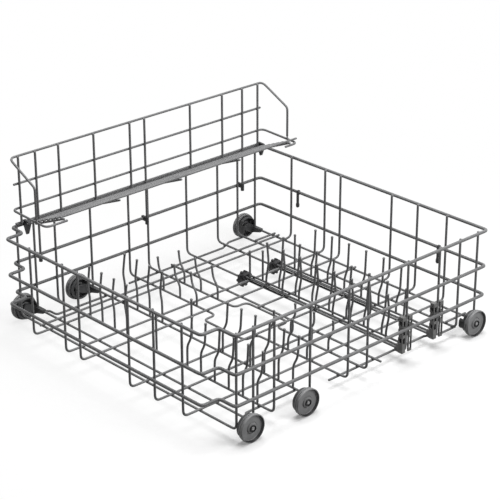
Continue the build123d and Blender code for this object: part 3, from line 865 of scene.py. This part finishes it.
def turnWheel(node):
    low, high = (Vector(corner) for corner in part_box(node))
    side = 1 if low.x > 0 else -1
    centre = (low + high) / 2
    centre.x = low.x if side > 0 else high.x
    width, radius = high.x - low.x, (high.z - low.z) / 2
    solid = bmesh.new()
    revolve(solid, wheelProfile(width, radius), centre, side, wheel["steps"], True)
    addRibs(solid, centre, side, radius)
    # Painted shade on the dish wall and the hollow back
    paintWheelShade(solid, centre, side, width, radius)
    piece = addMoulded("turned_" + node, solid, node, wheel["kinds"], wheel["crease"])
    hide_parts(node)
    return centre, side


# Stub axles: a cupped black snap head with four pale prongs in it
stub = dict(
    steps=48,
    axle=0.004,
    start=-0.0008,
    headStart=0.0073,
    headEnd=0.0091,
    head=0.0054,
    ease=0.0003,
    lip=0.0006,
    cup=0.0015,
    prongs=4,
    prongIn=0.0008,
    prongOut=0.0025,
    prongTop=0.0004,
    prongSink=0.0001,
    prongSlope=0.0005,
    prongShare=0.74,
    prongSteps=6,
)


def stubProfile():
    s = stub
    cupFloor = s["headEnd"] - s["cup"]
    return [
        (s["start"], 0),
        (s["start"], s["axle"]),
        (s["headStart"], s["axle"]),
        (s["headStart"], s["head"] - s["ease"]),
        (s["headStart"] + s["ease"], s["head"]),
        (s["headEnd"] - s["ease"], s["head"]),
        (s["headEnd"], s["head"] - s["ease"]),
        (s["headEnd"], s["head"] - s["lip"]),
        (cupFloor, s["head"] - s["lip"] - s["ease"]),
        (cupFloor, 0),
    ]


def addProngs(solid, centre, side):
    s = stub
    bottom = s["headEnd"] - s["cup"] - s["prongSink"]
    top = s["headEnd"] - s["prongTop"]
    section = [
        (bottom, s["prongIn"]),
        (top, s["prongIn"]),
        (top, s["prongOut"] - s["prongSlope"]),
        (bottom, s["prongOut"]),
    ]
    for prong in range(s["prongs"]):
        shares = [s["prongShare"] * step / s["prongSteps"] for step in range(s["prongSteps"] + 1)]
        turns = [2 * math.pi / s["prongs"] * (prong + share) for share in shares]
        rings = [spunRing(solid, section, centre, side, turn) for turn in turns]
        for ring, after in zip(rings, rings[1:]):
            bridge(solid, ring, after)
        solid.faces.new(rings[0])
        solid.faces.new(rings[-1])


def turnStubs(side, centres):
    node = bracketNode(side)
    stubs, prongs = bmesh.new(), bmesh.new()
    for centre in centres:
        revolve(stubs, stubProfile(), centre, side, stub["steps"], False)
        addProngs(prongs, centre, side)
    addMoulded("axles_" + node, stubs, node, ["black"])
    addMoulded("prongs_" + node, prongs, node, ["pin"])


# Shields: a shallow ring on each bracket, just inside the wheel
shield = dict(steps=64, gap=0.0006, depth=0.0066, radius=0.0178, wall=0.0022, ease=0.0005)


def addShields(side, centres):
    node = bracketNode(side)
    near, far, ease = -shield["gap"], -shield["depth"], shield["ease"]
    outer = shield["radius"]
    inner = outer - shield["wall"]
    profile = [
        (near, inner),
        (near, outer - ease),
        (near - ease, outer),
        (far + ease, outer),
        (far, outer - ease),
        (far, inner + ease),
        (far + ease, inner),
    ]
    solid = bmesh.new()
    for centre in centres:
        revolve(solid, profile, centre, side, shield["steps"], True)
    addMoulded("shields_" + node, solid, node, ["bracket"])


wheelNodes = [node for node, slot in nodeSlot.items() if slot == "wheel_plastic"]
turned = [turnWheel(node) for node in wheelNodes]
for side in (-1, 1):
    centres = [centre for centre, wheelSide in turned if wheelSide == side]
    turnStubs(side, centres)
    addShields(side, centres)
print("wheels turned:", len(wheelNodes))


# Studio: pale floor, a broad soft lamp overhead, a weaker one from the right, white seen behind
studio = dict(
    floorSize=12.0,
    floorGap=0.0002,
    floorRough=0.9,
    floorTone=0.15,
    seenTone=1.0,
    worldTone=0.05,
    glowInside=0.78,
    glowDrop=0.53,
    lane=0.27,
    laneNear=0.03,
    laneFar=0.09,
    glowNear=0.42,
    glowFar=0.8,
    keyPlace=(0.0, 0.2, 2.1),
    keyPower=47,
    keySize=1.6,
    fillPlace=(1.35, 0.45, 0.95),
    fillPower=11,
    fillSize=0.7,
)
white = (1, 1, 1)


# The floor glows white to the lens, less so under the object, where its shadows show
def floorFinish():
    finish = Finish(bpy.data.materials.new("paleFloor"))
    seen = finish.seen()
    tone = finish.blend(seen, [studio["floorTone"]] * 3, [studio["seenTone"]] * 3)
    constants = {"Roughness": studio["floorRough"], "Specular IOR Level": 0.0}
    finish.surface(constants, Base_Color=tone)
    away = finish.node(
        "VectorMath", {"operation": "LENGTH"}, {0: finish.place()}, output="Value"
    )
    away = away.above(studio["glowNear"], studio["glowFar"])
    off = abs(finish.along("X") - studio["lane"])
    lane = 1 - off.above(studio["laneNear"], studio["laneFar"])  # beside the near wheels
    share = studio["glowInside"] - lane * studio["glowDrop"]
    finish.glow(seen * (share + away * (1 - share)), "Emission", white)
    return finish.owner


def makeFloor():
    mesh = bpy.data.meshes.new("studioFloor")
    half = studio["floorSize"] / 2
    corners = [(-half, -half, 0), (half, -half, 0), (half, half, 0), (-half, half, 0)]
    mesh.from_pydata(corners, [], [(0, 1, 2, 3)])
    mesh.materials.append(floorFinish())
    floor = bpy.data.objects.new("studioFloor", mesh)
    floor.location.z = cadBox[0][2] - studio["floorGap"]
    bpy.context.collection.objects.link(floor)


def addLamp(name, place, power, size):
    lamp = bpy.data.lights.new(name, "AREA")
    lamp.energy = power
    lamp.shape = "DISK"
    lamp.size = size
    holder = bpy.data.objects.new(name, lamp)
    holder.location = place
    holder.rotation_euler = (-Vector(place)).to_track_quat("-Z", "Y").to_euler()
    bpy.context.collection.objects.link(holder)


makeFloor()
for lamp in ("key", "fill"):
    place, power, size = (studio[lamp + part] for part in ("Place", "Power", "Size"))
    addLamp(lamp + "Lamp", place, power, size)
world = Finish(bpy.data.worlds.new("studioWorld"))
world.surface({"Color": (*[studio["worldTone"]] * 3, 1)})
world.glow(world.seen(), "Background", white)
bpy.context.scene.world = world.owner
bpy.context.scene.view_settings.view_transform = "Standard"
print("studio lit")


# Camera at the photograph's angle, for a square frame; angles in degrees, lens in millimetres
view = dict(
    place=(1.7843, -1.6453, 1.2161),
    azimuth=47.02,
    elevation=24.03,
    roll=-0.12,
    lens=126.4,
    sensor=36.0,
    far=50,
)


def makeCamera():
    lens = bpy.data.cameras.new("photoCamera")
    lens.lens = view["lens"]
    lens.sensor_width = view["sensor"]
    lens.sensor_fit = "HORIZONTAL"
    lens.clip_end = view["far"]
    camera = bpy.data.objects.new("photoCamera", lens)
    azimuth, elevation = math.radians(view["azimuth"]), math.radians(view["elevation"])
    level = math.cos(elevation)
    back = Vector((
        level * math.sin(azimuth), -level * math.cos(azimuth), math.sin(elevation)
    ))
    roll = Matrix.Rotation(math.radians(view["roll"]), 3, "Z")
    turn = back.to_track_quat("Z", "Y").to_matrix() @ roll
    camera.matrix_world = Matrix.Translation(view["place"]) @ turn.to_4x4()
    bpy.context.collection.objects.link(camera)
    bpy.context.scene.camera = camera


makeCamera()
